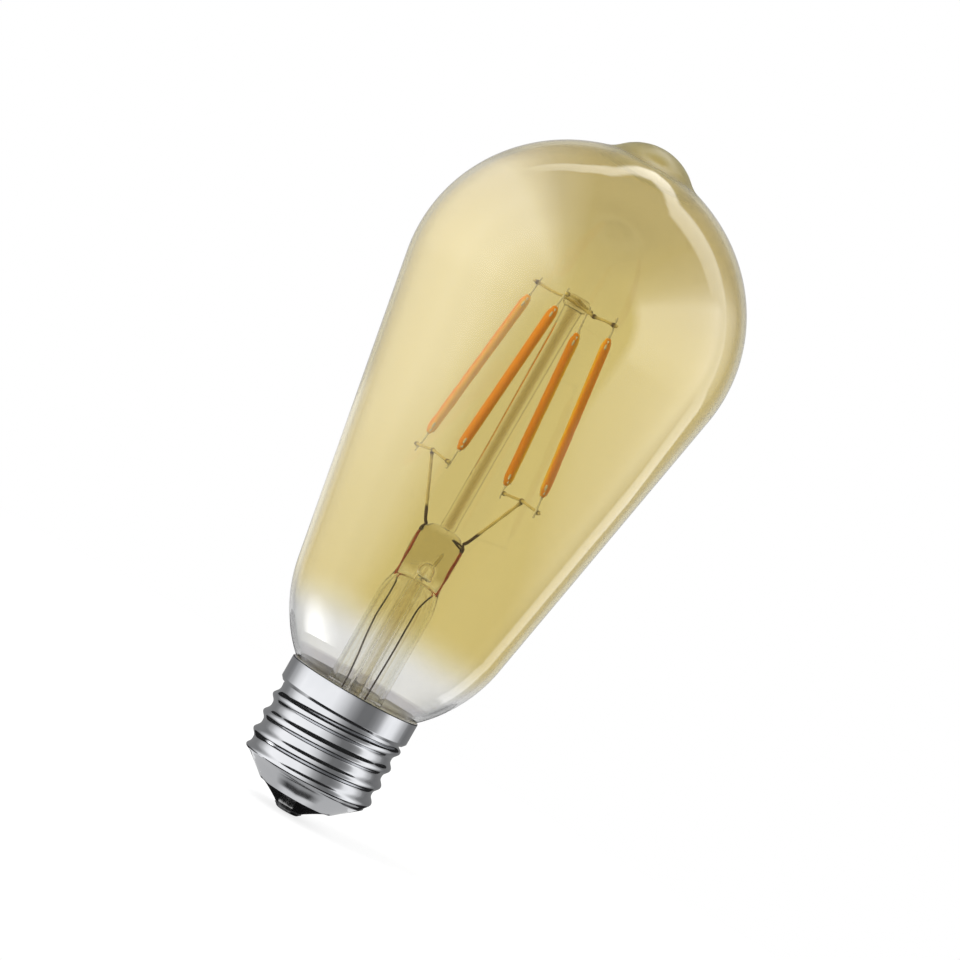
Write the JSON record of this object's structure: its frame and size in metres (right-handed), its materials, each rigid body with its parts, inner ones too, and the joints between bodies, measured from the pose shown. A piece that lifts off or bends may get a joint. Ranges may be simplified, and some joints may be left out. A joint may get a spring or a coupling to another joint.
{
  "type": "smart light bulb",
  "caption": "Pear-shaped amber glass filament lamp with upright light strips on a glass stem, a wireless driver hidden in its base and a metal screw cap.",
  "frame": {"origin": "middle of the flat underside of the centre contact", "axes": "+Z along the lamp's axis from the contact to the glass tip, +X to the right and -Y towards the viewer of the picture"},
  "size_m": [0.0654, 0.0654, 0.1417],
  "materials": {
    "amber_glass": "gold tinted blown glass, clear near the neck",
    "stem_glass": "clear pressed glass",
    "dumet": "copper clad sealing wire",
    "nickel_wire": "drawn nickel wire, dulled by heat",
    "phosphor_coat": "silicone filled with yellow phosphor",
    "chip_strip": "white ceramic strip",
    "led_chip": "light emitting die",
    "filament_tab": "plated steel end",
    "cap_metal": "rolled brass sheet, nickel plated",
    "cap_insulator": "opaque black glass",
    "contact_metal": "darkened solder over brass",
    "cement": "baked basing cement",
    "liner": "heat proof moulded plastic",
    "circuit_board": "glass fibre laminate with solder mask",
    "chip_package": "moulded epoxy",
    "fuse_body": "lacquered ceramic",
    "passive_body": "fired ceramic",
    "capacitor_sleeve": "shrunk plastic sleeve",
    "ferrite": "sintered ferrite",
    "copper": "enamelled copper",
    "live_insulation": "plastic insulated wire",
    "neutral_insulation": "plastic insulated wire"
  },
  "bodies": {
    "root": {"glass_envelope": "amber_glass", "stem_flare": "stem_glass", "exhaust_tube": "stem_glass", "arbor_rod": "stem_glass", "arbor_bead": "stem_glass", "dumet_wire_left": "dumet", "dumet_wire_right": "dumet", "lead_in_wire_left": "nickel_wire", "lead_in_wire_right": "nickel_wire", "outer_lead_left": "nickel_wire", "outer_lead_right": "nickel_wire", "lower_cross_wire_left": "nickel_wire", "lower_cross_wire_right": "nickel_wire", "upper_cross_wire_a": "nickel_wire", "upper_cross_wire_b": "nickel_wire", "filament_coat_1": "phosphor_coat", "filament_coat_2": "phosphor_coat", "filament_coat_3": "phosphor_coat", "filament_coat_4": "phosphor_coat", "filament_strip_1": "chip_strip", "filament_strip_2": "chip_strip", "filament_strip_3": "chip_strip", "filament_strip_4": "chip_strip", "filament_chips_1": "led_chip", "filament_chips_2": "led_chip", "filament_chips_3": "led_chip", "filament_chips_4": "led_chip", "filament_tabs_1": "filament_tab", "filament_tabs_2": "filament_tab", "filament_tabs_3": "filament_tab", "filament_tabs_4": "filament_tab", "screw_shell": "cap_metal", "cap_insulator": "cap_insulator", "centre_contact": "contact_metal", "basing_cement": "cement", "driver_liner": "liner", "driver_board": "circuit_board", "live_wire": "live_insulation", "neutral_wire": "neutral_insulation", "bridge_rectifier": "chip_package", "driver_chip": "chip_package", "fuse_resistor": "fuse_body", "chip_passives": "passive_body", "storage_capacitor": "capacitor_sleeve", "inductor_core": "ferrite", "inductor_winding": "copper", "radio_board": "circuit_board", "radio_chip": "chip_package", "antenna_track": "copper"}
  },
  "joints": []
}
